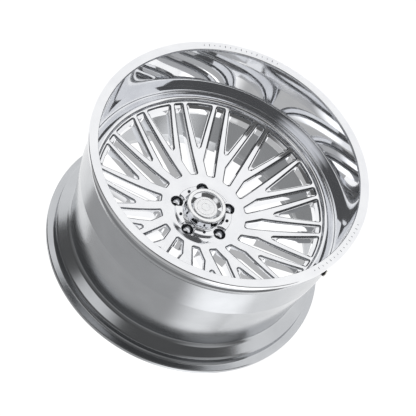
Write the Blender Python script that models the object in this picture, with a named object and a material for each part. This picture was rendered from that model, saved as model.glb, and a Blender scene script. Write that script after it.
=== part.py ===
"""A forged deep-lip wheel rim, 24 by 14 inches, five lug holes on 127 mm.

The wheel spins about Y and its face looks along -Y. The origin is at the middle of its width, on its axis.
A depth is a distance inboard from the outer flange's face. An angle runs from +X towards +Z.
"""

import math

import bpy
import numpy as np

MM = 0.001

# Overall sizes, in millimetres.
RIM_DIAMETER = 609.6
FLANGE_HEIGHT = 17.5
OVERALL_WIDTH = 374.5
OFFSET = 74.75
GAP = 0.3
SEGMENTS = 64

# The outboard lip, and the shoulder round the spokes.
LIP_INSET = 4.3
LIP_TAPER = 3.5
LIP_WALL = 6.0
LIP_DEPTH = 140.0
CREST_DROP = 6.0
SHOULDER_DROP = 22.0
SHOULDER_WIDTH = 31.0
CENTRE_SEAT = 32.0
SEAT_STEP = 5.5

# The inboard half of the barrel.
WELL_DROP = 25.3
WELL_TO_FLANGE = 58.5
SEAT_TO_FLANGE = 36.5
BARREL_WALL = 7.2

# The forged centre.
PAD_THICKNESS = 53.0
PAD_MARGIN = 6.0
HUB_RADIUS = 35.75
HUB_RING_WALL = 3.0
HUB_RING_WIDTH = 13.5
SPOKES = 16
FACE_RISE = 4.5
FACE_CURVE = 1.35
SPOKE_ROOT_THICKNESS = 40.0
SPOKE_MIDDLE_THICKNESS = 28.0
SPOKE_TIP_THICKNESS = 25.0

# The windows. The long ones have a kink on the side towards larger angles.
LONG_WINDOW_ANGLE = 6.25
WINDOW_TO_SHOULDER = 3.5
LONG_WIDTH = 23.0
LONG_INNER_RADIUS = 98.0
LONG_HEEL_REACH = 16.7
LONG_TOE_REACH = 2.0
KINK_REACH = 16.8
KINK_RADIUS = 134.0
SHORT_INNER_RADIUS = 161.5
SHORT_TIP_WIDTH = 8.0
ARM_WIDTH = 7.4
WINDOW_CORNER = 5.0

# The lug holes and their seats.
LUGS = 5
LUG_ANGLE = 90.0
LUG_CIRCLE = 63.5
POCKET_RADIUS = 14.0
SEAT_FLOOR = 10.0
STUD_HOLE_RADIUS = 8.5
SEAT_HEIGHT = 14.0
SEAT_BORE_RADIUS = 7.9
SEAT_RIM = 0.9

# The centre cap.
CAP_HEIGHT = 30.4
CAP_DISH = 8.4
CAP_TO_POCKET = 4.1
CAP_RING_WIDTH = 8.9
CAP_RING_HEIGHT = 4.6
CAP_DISC_RADIUS = 27.4
CAP_DISC_THICKNESS = 2.7
CAP_FOOT_MARGIN = 2.5
CAP_FOOT = 5.7
CAP_WALL = 4.0
SCALLOP_MARGIN = 2.5
CAP_SCREW_INSET = 6.5
CAP_SCREW_RADIUS = 1.9
CAP_SCREW_HEAD = 3.5
CAP_SCREW_LENGTH = 11.0
SEAL_SECTION = 1.15
SEAL_INSET = 2.6
SEAL_CLEARANCE = 0.35

# The inflation valve.
VALVE_ANGLE = 180.0
VALVE_TO_SHOULDER = 28.0
VALVE_STEM_RADIUS = 3.8
VALVE_STEM_WALL = 1.65
VALVE_LENGTH = 18.5
VALVE_FOOT_WIDTH = 4.2
VALVE_WASHER_THICKNESS = 1.2
VALVE_NUT_WIDTH = 2.7
VALVE_NUT_HEIGHT = 5.3
VALVE_CORE_LENGTH = 14.8
VALVE_PIN_RADIUS = 0.5
VALVE_PIN_CLEARANCE = 0.35
VALVE_CAP_WALL = 1.25
VALVE_CAP_CLEARANCE = 0.05
GROMMET_NECK = 1.25

# Sizes that follow from those above.
BEAD_RADIUS = RIM_DIAMETER / 2
FLANGE_RADIUS = BEAD_RADIUS + FLANGE_HEIGHT
LIP_EDGE_RADIUS = BEAD_RADIUS - LIP_INSET
LIP_FOOT_RADIUS = LIP_EDGE_RADIUS - LIP_TAPER
SEAT_DEPTH = LIP_DEPTH + CENTRE_SEAT
WELL_RADIUS = BEAD_RADIUS - WELL_DROP
WELL_DEPTH = OVERALL_WIDTH - WELL_TO_FLANGE
INBOARD_SEAT_DEPTH = OVERALL_WIDTH - SEAT_TO_FLANGE
PAD_DEPTH = OVERALL_WIDTH / 2 + OFFSET
HUB_FACE_DEPTH = PAD_DEPTH - PAD_THICKNESS
BORE_RADIUS = HUB_RADIUS + HUB_RING_WALL + GAP
RING_RADIUS = LIP_FOOT_RADIUS - SHOULDER_WIDTH
WINDOW_OUTER_RADIUS = RING_RADIUS - WINDOW_TO_SHOULDER
PAD_RADIUS = LUG_CIRCLE + STUD_HOLE_RADIUS + PAD_MARGIN
POCKET_DEPTH = PAD_DEPTH - SEAT_FLOOR
CAP_RING_RADIUS = LUG_CIRCLE - POCKET_RADIUS - CAP_TO_POCKET
CAP_RING_INNER = CAP_RING_RADIUS - CAP_RING_WIDTH
CAP_BORE_RADIUS = CAP_RING_RADIUS - CAP_WALL
CAP_TOP_DEPTH = HUB_FACE_DEPTH - CAP_HEIGHT
CAP_DISC_DEPTH = CAP_TOP_DEPTH + CAP_DISH
CAP_FLANGE_RADIUS = LUG_CIRCLE + CAP_FOOT_MARGIN
CAP_FLANGE_DEPTH = HUB_FACE_DEPTH - GAP - CAP_FOOT
CAP_SCREW_CIRCLE = LUG_CIRCLE - CAP_SCREW_INSET
SCREW_HOLE_RADIUS = CAP_SCREW_RADIUS + GAP
SEAL_RADIUS = CAP_BORE_RADIUS + SEAL_INSET
VALVE_DEPTH = LIP_DEPTH - VALVE_TO_SHOULDER
VALVE_BORE_RADIUS = VALVE_STEM_RADIUS - VALVE_STEM_WALL
VALVE_HOLE_RADIUS = VALVE_STEM_RADIUS + GAP + GROMMET_NECK + GAP
WHEEL_ORIGIN = np.array([0.0, -OVERALL_WIDTH / 2, 0.0])
INBOARD = np.array([0.0, 1.0, 0.0])


def clear_scene():
    for old in list(bpy.data.objects):
        bpy.data.objects.remove(old, do_unlink=True)


def material(name, color, metallic, roughness):
    made = bpy.data.materials.new(name)
    made.use_nodes = True
    shader = made.node_tree.nodes["Principled BSDF"]
    shader.inputs["Base Color"].default_value = (*color, 1.0)
    shader.inputs["Metallic"].default_value = metallic
    shader.inputs["Roughness"].default_value = roughness
    return made


def side_axes(axis):
    """Two unit vectors at right angles to the axis. Round Y they are X and Z."""
    if abs(axis[1]) > 0.9:
        return np.array([1.0, 0.0, 0.0]), np.array([0.0, 0.0, 1.0])
    first = np.array([0.0, 1.0, 0.0])
    return first, np.cross(axis, first)


def signed_volume(points, faces):
    total = 0.0
    for face in faces:
        for k in range(1, len(face) - 1):
            corner = points[[face[0], face[k], face[k + 1]]]
            total += np.linalg.det(corner)
    return total


def mesh_object(name, points, faces, origin, surface):
    """An object at this origin. Its points are in the wheel's frame, and its faces are turned outwards."""
    points = (np.asarray(points) - origin) * MM
    if signed_volume(points, faces) < 0:
        faces = [tuple(reversed(face)) for face in faces]
    mesh = bpy.data.meshes.new(name)
    mesh.from_pydata(points.tolist(), [], faces)
    mesh.validate()
    obj = bpy.data.objects.new(name, mesh)
    obj.location = np.asarray(origin) * MM
    bpy.context.scene.collection.objects.link(obj)
    mesh.materials.append(surface)
    return obj


def lathe(name, profile, surface, origin=WHEEL_ORIGIN, axis=INBOARD, segments=SEGMENTS,
          pivot=(0.0, 0.0, 0.0)):
    """A body of revolution. The profile is a list of (radius, height) along the axis.

    It is a closed loop, or a line from the axis back to it. A third entry in a point names a
    function of the turn that multiplies its radius, for hexagons and knurls.
    """
    first, second = side_axes(axis)
    turns = np.arange(segments) * 2 * math.pi / segments
    points = []
    rings = []
    for entry in profile:
        radius, height = entry[:2]
        centre = origin + height * axis
        if radius == 0:
            rings.append([len(points)])
            points.append(centre)
            continue
        ring = []
        for turn in turns:
            scale = entry[2](turn) if len(entry) > 2 else 1.0
            reach = radius * scale
            ring.append(len(points))
            points.append(centre + reach * (math.cos(turn) * first + math.sin(turn) * second))
        rings.append(ring)
    faces = []
    loops = list(zip(rings, rings[1:]))
    if len(rings[0]) > 1:
        loops.append((rings[-1], rings[0]))
    for low, high in loops:
        for k in range(segments):
            after = (k + 1) % segments
            if len(low) == 1:
                faces.append((low[0], high[after], high[k]))
            elif len(high) == 1:
                faces.append((low[k], low[after], high[0]))
            else:
                faces.append((low[k], low[after], high[after], high[k]))
    return mesh_object(name, points, faces, np.asarray(pivot, float), surface)


def hexagon(turn):
    """The reach of a hexagon's side over that of its flats."""
    within = (turn + math.pi / 6) % (math.pi / 3) - math.pi / 6
    return 1 / math.cos(within)


def knurl(turn):
    return 1.0 - 0.02 * (1 - math.cos(24 * turn))


def rounded(corners, steps=2):
    """The outline through the corners (x, y, radius), each corner replaced by an arc."""
    outline = []
    count = len(corners)
    for k, (x, y, radius) in enumerate(corners):
        here = np.array([x, y])
        before = np.array(corners[k - 1][:2]) - here
        after = np.array(corners[(k + 1) % count][:2]) - here
        before /= np.linalg.norm(before)
        after /= np.linalg.norm(after)
        half = math.acos(np.clip(before @ after, -1, 1)) / 2
        reach = radius / math.tan(half)
        middle = before + after
        centre = here + middle / np.linalg.norm(middle) * radius / math.sin(half)
        start = here + before * reach - centre
        end = here + after * reach - centre
        angle = math.atan2(start[0] * end[1] - start[1] * end[0], start @ end)
        for step in range(steps + 1):
            turn = angle * step / steps
            turned = np.array([
                start[0] * math.cos(turn) - start[1] * math.sin(turn),
                start[0] * math.sin(turn) + start[1] * math.cos(turn),
            ])
            outline.append(centre + turned)
    return np.array(outline)


def window_prisms(outline, first_angle, near, far):
    """One mesh of prisms, an outline repeated round the wheel and carried from one depth to another."""
    points = []
    faces = []
    count = len(outline)
    for k in range(SPOKES):
        turn = math.radians(first_angle + 360 / SPOKES * k)
        along = np.array([math.cos(turn), math.sin(turn)])
        across = np.array([-math.sin(turn), math.cos(turn)])
        flat = outline[:, 1:] * along + outline[:, :1] * across
        start = len(points)
        for depth in (near, far):
            for x, z in flat:
                points.append(WHEEL_ORIGIN + np.array([x, depth, z]))
        faces.append(tuple(range(start, start + count)))
        faces.append(tuple(range(start + 2 * count - 1, start + count - 1, -1)))
        for j in range(count):
            after = (j + 1) % count
            faces.append((start + after, start + j, start + count + j, start + count + after))
    return points, faces


def cut(obj, cutters):
    """Takes the cutters' volume out of the object, and removes them."""
    for cutter in cutters:
        cutter.hide_render = True
        cutter.display_type = "WIRE"
        step = obj.modifiers.new("cut", "BOOLEAN")
        step.operation = "DIFFERENCE"
        step.solver = "EXACT"
        step.object = cutter
    bpy.context.view_layer.update()
    graph = bpy.context.evaluated_depsgraph_get()
    cut_mesh = bpy.data.meshes.new_from_object(obj.evaluated_get(graph))
    obj.modifiers.clear()
    obj.data = cut_mesh
    for cutter in cutters:
        bpy.data.objects.remove(cutter, do_unlink=True)


def shade(obj, angle):
    """Smooth faces, with the edges over this angle kept sharp."""
    mesh = obj.data
    mesh.polygons.foreach_set("use_smooth", [True] * len(mesh.polygons))
    mesh.set_sharp_from_angle(angle=math.radians(angle))


def around(count, first_angle, radius):
    """(number from 1, point on the wheel's front plane) at equal steps round a circle."""
    for k in range(count):
        turn = math.radians(first_angle + 360 / count * k)
        yield k + 1, WHEEL_ORIGIN + radius * np.array([math.cos(turn), 0.0, math.sin(turn)])


def lip_radius(depth):
    """The inner radius of the polished lip."""
    return LIP_EDGE_RADIUS - LIP_TAPER * depth / LIP_DEPTH


def face_depth(radius):
    """The spokes' front face, a dish that steepens outwards."""
    inner = HUB_FACE_DEPTH - FACE_RISE
    outer = LIP_DEPTH + 16.0
    part = (radius - LONG_INNER_RADIUS + 1) / (RING_RADIUS - LONG_INNER_RADIUS + 1)
    return inner + (outer - inner) * max(part, 0.0) ** FACE_CURVE


def barrel(surface):
    lip_outside = LIP_FOOT_RADIUS + LIP_WALL
    step = LIP_FOOT_RADIUS - SEAT_STEP
    outside = [
        (FLANGE_RADIUS - 1.5, 0.0),
        (FLANGE_RADIUS, 1.5),
        (FLANGE_RADIUS, 8.0),
        (FLANGE_RADIUS - 2.5, 10.5),
        (BEAD_RADIUS + 4.0, 12.5),
        (BEAD_RADIUS, 17.0),
        (BEAD_RADIUS - 0.8, 42.0),
        (BEAD_RADIUS + 1.4, 50.0),
        (lip_outside, 62.0),
        (lip_outside, LIP_DEPTH + 4),
        (WELL_RADIUS + 1.0, WELL_DEPTH - 14),
        (WELL_RADIUS, WELL_DEPTH),
        (WELL_RADIUS + 4.0, WELL_DEPTH + 9),
        (BEAD_RADIUS - 1.0, INBOARD_SEAT_DEPTH),
        (BEAD_RADIUS, INBOARD_SEAT_DEPTH + 19),
        (BEAD_RADIUS + 4.0, OVERALL_WIDTH - 12.5),
        (FLANGE_RADIUS - 2.5, OVERALL_WIDTH - 10.5),
        (FLANGE_RADIUS, OVERALL_WIDTH - 8.0),
        (FLANGE_RADIUS, OVERALL_WIDTH - 1.5),
        (FLANGE_RADIUS - 1.5, OVERALL_WIDTH),
    ]
    inside = [
        (BEAD_RADIUS - 3.0, OVERALL_WIDTH),
        (BEAD_RADIUS - 5.5, OVERALL_WIDTH - 3.0),
        (BEAD_RADIUS - BARREL_WALL, INBOARD_SEAT_DEPTH + 7),
        (WELL_RADIUS + 9.0, WELL_DEPTH + 13),
        (WELL_RADIUS - BARREL_WALL + 1.2, WELL_DEPTH + 1),
        (WELL_RADIUS - BARREL_WALL, WELL_DEPTH - 12),
        (step, SEAT_DEPTH + 7),
        (step, SEAT_DEPTH + GAP),
        (LIP_FOOT_RADIUS, SEAT_DEPTH + GAP),
        (LIP_FOOT_RADIUS, LIP_DEPTH),
        (lip_radius(2.0), 2.0),
        (LIP_EDGE_RADIUS + 2.0, 0.0),
    ]
    made = lathe("rim_barrel", outside + inside, surface)
    origin, inward = valve_frame()
    hole = [(0, -20.0), (VALVE_HOLE_RADIUS, -20.0), (VALVE_HOLE_RADIUS, 10.0), (0, 10.0)]
    cut(made, [lathe("valve_hole", hole, surface, origin, inward, 24)])
    return made


def window_outlines():
    """The long and the short window, each as (across, outwards) from the wheel's axis."""
    outer = WINDOW_OUTER_RADIUS
    half = LONG_WIDTH / 2
    long_window = rounded([
        (half, outer, WINDOW_CORNER),
        (-half, outer, WINDOW_CORNER),
        (-LONG_HEEL_REACH, LONG_INNER_RADIUS, WINDOW_CORNER),
        (LONG_TOE_REACH, LONG_INNER_RADIUS + 0.8, WINDOW_CORNER),
        (KINK_REACH, KINK_RADIUS, WINDOW_CORNER),
    ])
    spread = math.pi / SPOKES - (half + ARM_WIDTH) / outer
    across = outer * math.sin(spread)
    end = outer * math.cos(spread)
    tip = SHORT_TIP_WIDTH / 2
    short_window = rounded([
        (across, end, WINDOW_CORNER),
        (0.0, outer, outer / 2),
        (-across, end, WINDOW_CORNER),
        (-tip, SHORT_INNER_RADIUS, tip * 0.7),
        (tip, SHORT_INNER_RADIUS, tip * 0.7),
    ])
    return long_window, short_window


def centre(surface):
    ring = LIP_FOOT_RADIUS - GAP
    crest = LIP_DEPTH + CREST_DROP
    foot = LIP_DEPTH + SHOULDER_DROP
    hollow = SEAT_DEPTH - 6.0
    middle = SHORT_INNER_RADIUS
    front = [(BORE_RADIUS, HUB_FACE_DEPTH), (CAP_FLANGE_RADIUS + 6, HUB_FACE_DEPTH)]
    front.append((LONG_INNER_RADIUS - 1, face_depth(LONG_INNER_RADIUS - 1)))
    for part in (0.2, 0.4, 0.7, 0.94):
        radius = LONG_INNER_RADIUS + (RING_RADIUS - LONG_INNER_RADIUS) * part
        front.append((radius, face_depth(radius)))
    front += [
        (RING_RADIUS - 1.0, crest + 7.5),
        (RING_RADIUS + 0.8, crest + 3.0),
        (RING_RADIUS + 3.0, crest + 0.6),
        (RING_RADIUS + 6.0, crest),
        (RING_RADIUS + 9.5, crest + 1.4),
        (RING_RADIUS + 18.0, crest + 7.5),
        (ring - 5.0, foot - 1.0),
        (ring, foot),
    ]
    back = [
        (ring, SEAT_DEPTH),
        (RING_RADIUS + 18.0, SEAT_DEPTH),
        (RING_RADIUS + 14.5, hollow),
        (RING_RADIUS + 6.0, hollow),
        (RING_RADIUS + 3.0, SEAT_DEPTH + 8),
        (RING_RADIUS - 5.0, face_depth(RING_RADIUS - 5) + SPOKE_TIP_THICKNESS),
        (middle, face_depth(middle) + SPOKE_MIDDLE_THICKNESS),
        (LONG_INNER_RADIUS + 2, HUB_FACE_DEPTH - FACE_RISE + SPOKE_ROOT_THICKNESS),
        (PAD_RADIUS + 5, PAD_DEPTH - 8),
        (PAD_RADIUS, PAD_DEPTH),
        (BORE_RADIUS, PAD_DEPTH),
    ]
    made = lathe("forged_centre", front + back, surface)
    long_window, short_window = window_outlines()
    cutters = []
    for name, outline, angle in (
        ("long_windows", long_window, LONG_WINDOW_ANGLE),
        ("short_windows", short_window, LONG_WINDOW_ANGLE + 180 / SPOKES),
    ):
        points, faces = window_prisms(outline, angle, crest - 10, PAD_DEPTH + 10)
        cutters.append(mesh_object(name, points, faces, np.zeros(3), surface))
    for k, point in around(LUGS, LUG_ANGLE, LUG_CIRCLE):
        hole = [
            (0, HUB_FACE_DEPTH - 10),
            (POCKET_RADIUS, HUB_FACE_DEPTH - 10),
            (POCKET_RADIUS, POCKET_DEPTH),
            (STUD_HOLE_RADIUS, POCKET_DEPTH),
            (STUD_HOLE_RADIUS, PAD_DEPTH + 10),
            (0, PAD_DEPTH + 10),
        ]
        cutters.append(lathe(f"lug_hole_{k}", hole, surface, point, INBOARD, 24))
    for k, point in around(LUGS, LUG_ANGLE + 180 / LUGS, CAP_SCREW_CIRCLE):
        hole = [
            (0, HUB_FACE_DEPTH - 10),
            (SCREW_HOLE_RADIUS, HUB_FACE_DEPTH - 10),
            (SCREW_HOLE_RADIUS, HUB_FACE_DEPTH + CAP_SCREW_LENGTH + 1),
            (0, HUB_FACE_DEPTH + CAP_SCREW_LENGTH + 1),
        ]
        cutters.append(lathe(f"tapped_hole_{k}", hole, surface, point, INBOARD, 14))
    cut(made, cutters)
    return made


def lug_seats(surface):
    """Steel inserts, each with the 60 degree cone that a lug nut clamps on."""
    outside = POCKET_RADIUS - GAP
    foot = POCKET_DEPTH - GAP
    top = foot - SEAT_HEIGHT
    mouth = outside - SEAT_RIM
    cone_end = top + (mouth - SEAT_BORE_RADIUS) / math.tan(math.radians(30))
    made = []
    for k, point in around(LUGS, LUG_ANGLE, LUG_CIRCLE):
        profile = [
            (outside, top),
            (outside, foot),
            (SEAT_BORE_RADIUS, foot),
            (SEAT_BORE_RADIUS, cone_end),
            (mouth, top),
        ]
        made.append(lathe(f"lug_seat_{k}", profile, surface, point, INBOARD, 24))
    return made


def hub_ring(surface):
    """The ring that takes the bore down to the hub's spigot."""
    outside = BORE_RADIUS - GAP
    back = PAD_DEPTH - 0.5
    front = back - HUB_RING_WIDTH
    profile = [
        (outside - 0.8, front),
        (outside, front + 1.0),
        (outside, back),
        (HUB_RADIUS + 1.0, back),
        (HUB_RADIUS, back - 1.0),
        (HUB_RADIUS, front),
    ]
    return lathe("hub_centring_ring", profile, surface, segments=48)


def weld_bead(surface):
    """The bead behind the centre's ring, where it meets the barrel."""
    corner = LIP_FOOT_RADIUS - SEAT_STEP - GAP
    start = SEAT_DEPTH + GAP
    profile = [
        (corner, start),
        (corner, start + 4.2),
        (corner - 1.8, start + 3.6),
        (corner - 3.6, start + 1.8),
        (corner - 4.2, start),
    ]
    return lathe("weld_bead", profile, surface)


def cap_shell(surface):
    """The mirror-finished tower, its lobed foot and the dished seat for the badge."""
    under = HUB_FACE_DEPTH - GAP
    shelf = CAP_TOP_DEPTH + CAP_RING_HEIGHT + GAP
    floor = CAP_DISC_DEPTH + CAP_DISC_THICKNESS + GAP
    groove = SEAL_SECTION + SEAL_CLEARANCE
    profile = [
        (0, floor),
        (CAP_DISC_RADIUS + 2 * GAP, floor),
        (CAP_DISC_RADIUS + 3 * GAP, CAP_DISC_DEPTH + 1.4),
        (CAP_RING_INNER - 0.4, shelf),
        (CAP_RING_RADIUS - 0.5, shelf),
        (CAP_RING_RADIUS - 0.1, shelf + 2.0),
        (CAP_RING_RADIUS + 0.9, CAP_FLANGE_DEPTH - 8),
        (CAP_RING_RADIUS + 2.6, CAP_FLANGE_DEPTH - 2),
        (CAP_RING_RADIUS + 5.0, CAP_FLANGE_DEPTH),
        (CAP_FLANGE_RADIUS - 0.8, CAP_FLANGE_DEPTH),
        (CAP_FLANGE_RADIUS, CAP_FLANGE_DEPTH + 0.8),
        (CAP_FLANGE_RADIUS, under),
        (SEAL_RADIUS + groove, under),
        (SEAL_RADIUS + groove, under - 2 * SEAL_SECTION - GAP),
        (SEAL_RADIUS - groove, under - 2 * SEAL_SECTION - GAP),
        (SEAL_RADIUS - groove, under),
        (CAP_BORE_RADIUS, under),
        (CAP_BORE_RADIUS - 0.6, floor + 5),
        (CAP_BORE_RADIUS - 3.0, floor + CAP_WALL),
        (0, floor + CAP_WALL),
    ]
    made = lathe("cap_shell", profile, surface, segments=48)
    cutters = []
    for k, point in around(LUGS, LUG_ANGLE, LUG_CIRCLE):
        reach = POCKET_RADIUS + SCALLOP_MARGIN
        hole = [(0, shelf + 6), (reach, shelf + 6), (reach, under + 5), (0, under + 5)]
        cutters.append(lathe(f"scallop_{k}", hole, surface, point, INBOARD, 30))
    for k, point in around(LUGS, LUG_ANGLE + 180 / LUGS, CAP_SCREW_CIRCLE):
        hole = [
            (0, CAP_FLANGE_DEPTH - 5),
            (SCREW_HOLE_RADIUS, CAP_FLANGE_DEPTH - 5),
            (SCREW_HOLE_RADIUS, under + 5),
            (0, under + 5),
        ]
        cutters.append(lathe(f"screw_hole_{k}", hole, surface, point, INBOARD, 14))
    cut(made, cutters)
    return made


def cap_ring(surface):
    """The bright rounded ring on top of the tower."""
    base = CAP_TOP_DEPTH + CAP_RING_HEIGHT
    profile = [
        (CAP_RING_INNER, base),
        (CAP_RING_INNER, CAP_TOP_DEPTH + 1.2),
        (CAP_RING_INNER + 1.4, CAP_TOP_DEPTH),
        (CAP_RING_RADIUS - 2.0, CAP_TOP_DEPTH),
        (CAP_RING_RADIUS - 0.5, CAP_TOP_DEPTH + 0.7),
        (CAP_RING_RADIUS, CAP_TOP_DEPTH + 2.2),
        (CAP_RING_RADIUS, base),
    ]
    return lathe("cap_ring", profile, surface, segments=48)


def cap_badge(surface):
    """The plain domed disc in the middle of the cap."""
    back = CAP_DISC_DEPTH + CAP_DISC_THICKNESS
    profile = [
        (0, CAP_DISC_DEPTH - 0.3),
        (CAP_DISC_RADIUS - 8.0, CAP_DISC_DEPTH - 0.2),
        (CAP_DISC_RADIUS - 1.2, CAP_DISC_DEPTH),
        (CAP_DISC_RADIUS, CAP_DISC_DEPTH + 1.0),
        (CAP_DISC_RADIUS, back),
        (0, back),
    ]
    return lathe("cap_badge", profile, surface, segments=40)


def cap_seal(surface):
    """The O-ring in the groove under the cap's foot."""
    middle = HUB_FACE_DEPTH - GAP - SEAL_SECTION + 0.05
    profile = []
    for turn in np.arange(6) * math.pi / 3:
        radius = SEAL_RADIUS + SEAL_SECTION * math.cos(turn)
        profile.append((radius, middle + SEAL_SECTION * math.sin(turn)))
    return lathe("cap_seal", profile, surface, segments=40)


def cap_screws(surface):
    """Button-head screws through the foot's lobes, with hexagon sockets."""
    seat = CAP_FLANGE_DEPTH - GAP
    tip = HUB_FACE_DEPTH + CAP_SCREW_LENGTH
    socket = CAP_SCREW_HEAD * 0.36
    made = []
    for k, point in around(LUGS, LUG_ANGLE + 180 / LUGS, CAP_SCREW_CIRCLE):
        profile = [
            (0, tip),
            (CAP_SCREW_RADIUS - 0.5, tip),
            (CAP_SCREW_RADIUS, tip - 1.0),
            (CAP_SCREW_RADIUS, seat),
            (CAP_SCREW_HEAD, seat),
            (CAP_SCREW_HEAD, seat - 1.0),
            (CAP_SCREW_HEAD - 0.8, seat - 2.1),
            (socket, seat - 2.4, hexagon),
            (socket, seat - 0.9, hexagon),
            (0, seat - 0.9),
        ]
        made.append(lathe(f"cap_screw_{k}", profile, surface, point, INBOARD, 12))
    return made


def valve_frame():
    """Where the valve's axis leaves the lip's wall, and the direction towards the wheel's axis."""
    turn = math.radians(VALVE_ANGLE)
    outwards = np.array([math.cos(turn), 0.0, math.sin(turn)])
    origin = WHEEL_ORIGIN + VALVE_DEPTH * INBOARD + lip_radius(VALVE_DEPTH) * outwards
    return origin, -outwards


def valve(brass, nickel, rubber, plastic):
    """A clamp-in stem and what goes on it. Heights run inwards from the lip's wall."""
    origin, inward = valve_frame()
    outer_wall = lip_radius(VALVE_DEPTH) - LIP_FOOT_RADIUS - LIP_WALL
    stem_gap = VALVE_STEM_RADIUS + GAP
    head = outer_wall - 4.2
    grommet_end = outer_wall - GAP - 0.2
    foot = VALVE_STEM_RADIUS + VALVE_FOOT_WIDTH
    washer_radius = VALVE_STEM_RADIUS + VALVE_NUT_WIDTH + 1.0
    wall_slope = math.hypot(math.tan(math.pi / SEGMENTS), LIP_TAPER / LIP_DEPTH)
    washer = washer_radius * wall_slope + 0.05
    washer_end = washer + VALVE_WASHER_THICKNESS
    nut = washer_end + GAP
    nut_end = nut + VALVE_NUT_HEIGHT
    nut_flat = VALVE_STEM_RADIUS + VALVE_NUT_WIDTH
    core_top = VALVE_LENGTH - 1.2
    core_end = core_top - VALVE_CORE_LENGTH
    core_radius = VALVE_BORE_RADIUS - GAP
    core_bore = VALVE_PIN_RADIUS + VALVE_PIN_CLEARANCE
    pin_foot = VALVE_PIN_RADIUS + 0.8
    cap_mouth = nut_end + 1.9
    cap_bore = VALVE_STEM_RADIUS + VALVE_CAP_CLEARANCE
    cap_outside = cap_bore + VALVE_CAP_WALL

    def turned(name, profile, surface, segments=24):
        return lathe(name, profile, surface, origin, inward, segments, pivot=origin)

    made = [turned("valve_grommet", [
        (stem_gap, -1.5),
        (stem_gap, head + GAP),
        (foot - 0.4, head + GAP),
        (foot + 0.6, head + GAP + 1.0),
        (foot + 0.6, grommet_end),
        (VALVE_HOLE_RADIUS - GAP, grommet_end),
        (VALVE_HOLE_RADIUS - GAP, -1.5),
    ], rubber)]
    made.append(turned("valve_stem", [
        (VALVE_BORE_RADIUS, VALVE_LENGTH),
        (VALVE_STEM_RADIUS - 0.5, VALVE_LENGTH),
        (VALVE_STEM_RADIUS, VALVE_LENGTH - 0.6),
        (VALVE_STEM_RADIUS, head),
        (foot, head),
        (foot, head - 1.6),
        (foot - 1.2, head - 2.6),
        (VALVE_BORE_RADIUS, head - 2.6),
    ], nickel))
    made.append(turned("valve_washer", [
        (stem_gap, washer),
        (washer_radius, washer),
        (washer_radius, washer_end),
        (stem_gap, washer_end),
    ], nickel))
    made.append(turned("valve_nut", [
        (stem_gap, nut),
        (nut_flat, nut, hexagon),
        (nut_flat, nut_end - 0.6, hexagon),
        (nut_flat - 0.4, nut_end, hexagon),
        (stem_gap, nut_end),
    ], nickel))
    made.append(turned("valve_core", [
        (core_bore, core_top),
        (core_radius, core_top),
        (core_radius, core_top - 4.8),
        (core_radius - 0.5, core_top - 5.8),
        (core_radius - 0.5, core_end),
        (core_bore, core_end),
    ], brass, 16))
    made.append(turned("valve_core_pin", [
        (0, VALVE_LENGTH - 0.4),
        (VALVE_PIN_RADIUS, VALVE_LENGTH - 0.4),
        (VALVE_PIN_RADIUS, core_end - 0.4),
        (pin_foot, core_end - 0.4),
        (pin_foot, core_end - 2.0),
        (0, core_end - 2.0),
    ], brass, 12))
    made.append(turned("valve_cap_seal", [
        (0, VALVE_LENGTH + 0.9),
        (cap_bore - 0.5, VALVE_LENGTH + 0.9),
        (cap_bore - 0.5, VALVE_LENGTH + GAP),
        (0, VALVE_LENGTH + GAP),
    ], rubber, 16))
    made.append(turned("valve_cap", [
        (0, VALVE_LENGTH + 3.2),
        (cap_outside - 1.5, VALVE_LENGTH + 3.2),
        (cap_outside - 0.5, VALVE_LENGTH + 2.4),
        (cap_outside, VALVE_LENGTH + 1.6, knurl),
        (cap_outside, cap_mouth + 0.8, knurl),
        (cap_outside - 0.4, cap_mouth),
        (cap_bore, cap_mouth),
        (cap_bore, VALVE_LENGTH + 1.2),
        (0, VALVE_LENGTH + 1.2),
    ], plastic, 48))
    return made


def main():
    clear_scene()
    polished = material("polished_aluminium", (0.88, 0.89, 0.9), 1.0, 0.06)
    mirror = material("mirror_aluminium", (0.9, 0.9, 0.91), 1.0, 0.03)
    machined = material("bright_ring", (0.93, 0.93, 0.93), 1.0, 0.12)
    badge = material("badge_enamel", (0.86, 0.86, 0.86), 0.0, 0.25)
    steel = material("zinc_steel", (0.42, 0.43, 0.44), 1.0, 0.32)
    dark_steel = material("dark_steel", (0.2, 0.2, 0.21), 1.0, 0.3)
    weld = material("weld_metal", (0.7, 0.7, 0.71), 1.0, 0.4)
    plastic = material("ring_plastic", (0.05, 0.05, 0.05), 0.0, 0.45)
    rubber = material("valve_rubber", (0.03, 0.03, 0.03), 0.0, 0.6)
    seal = material("seal_rubber", (0.04, 0.04, 0.04), 0.0, 0.5)
    brass = material("valve_brass", (0.78, 0.6, 0.3), 1.0, 0.25)
    nickel = material("valve_nickel", (0.75, 0.74, 0.72), 1.0, 0.18)
    made = [barrel(polished), centre(mirror)]
    made += lug_seats(steel)
    made.append(hub_ring(plastic))
    made.append(weld_bead(weld))
    made.append(cap_shell(mirror))
    made.append(cap_ring(machined))
    made.append(cap_badge(badge))
    made.append(cap_seal(seal))
    made += cap_screws(dark_steel)
    made += valve(brass, nickel, rubber, plastic)
    for obj in made:
        shade(obj, 28)


main()
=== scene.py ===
"""The finished look of a forged deep-lip wheel rim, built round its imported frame.

The wheel spins about Y and its face looks along -Y. Lengths below are millimetres. A depth runs inboard
from the outer flange's face, and an angle runs from +X towards +Z, about the wheel's axis.
"""

import math

import bmesh
import bpy
import numpy as np
from mathutils import Matrix, Vector


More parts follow.
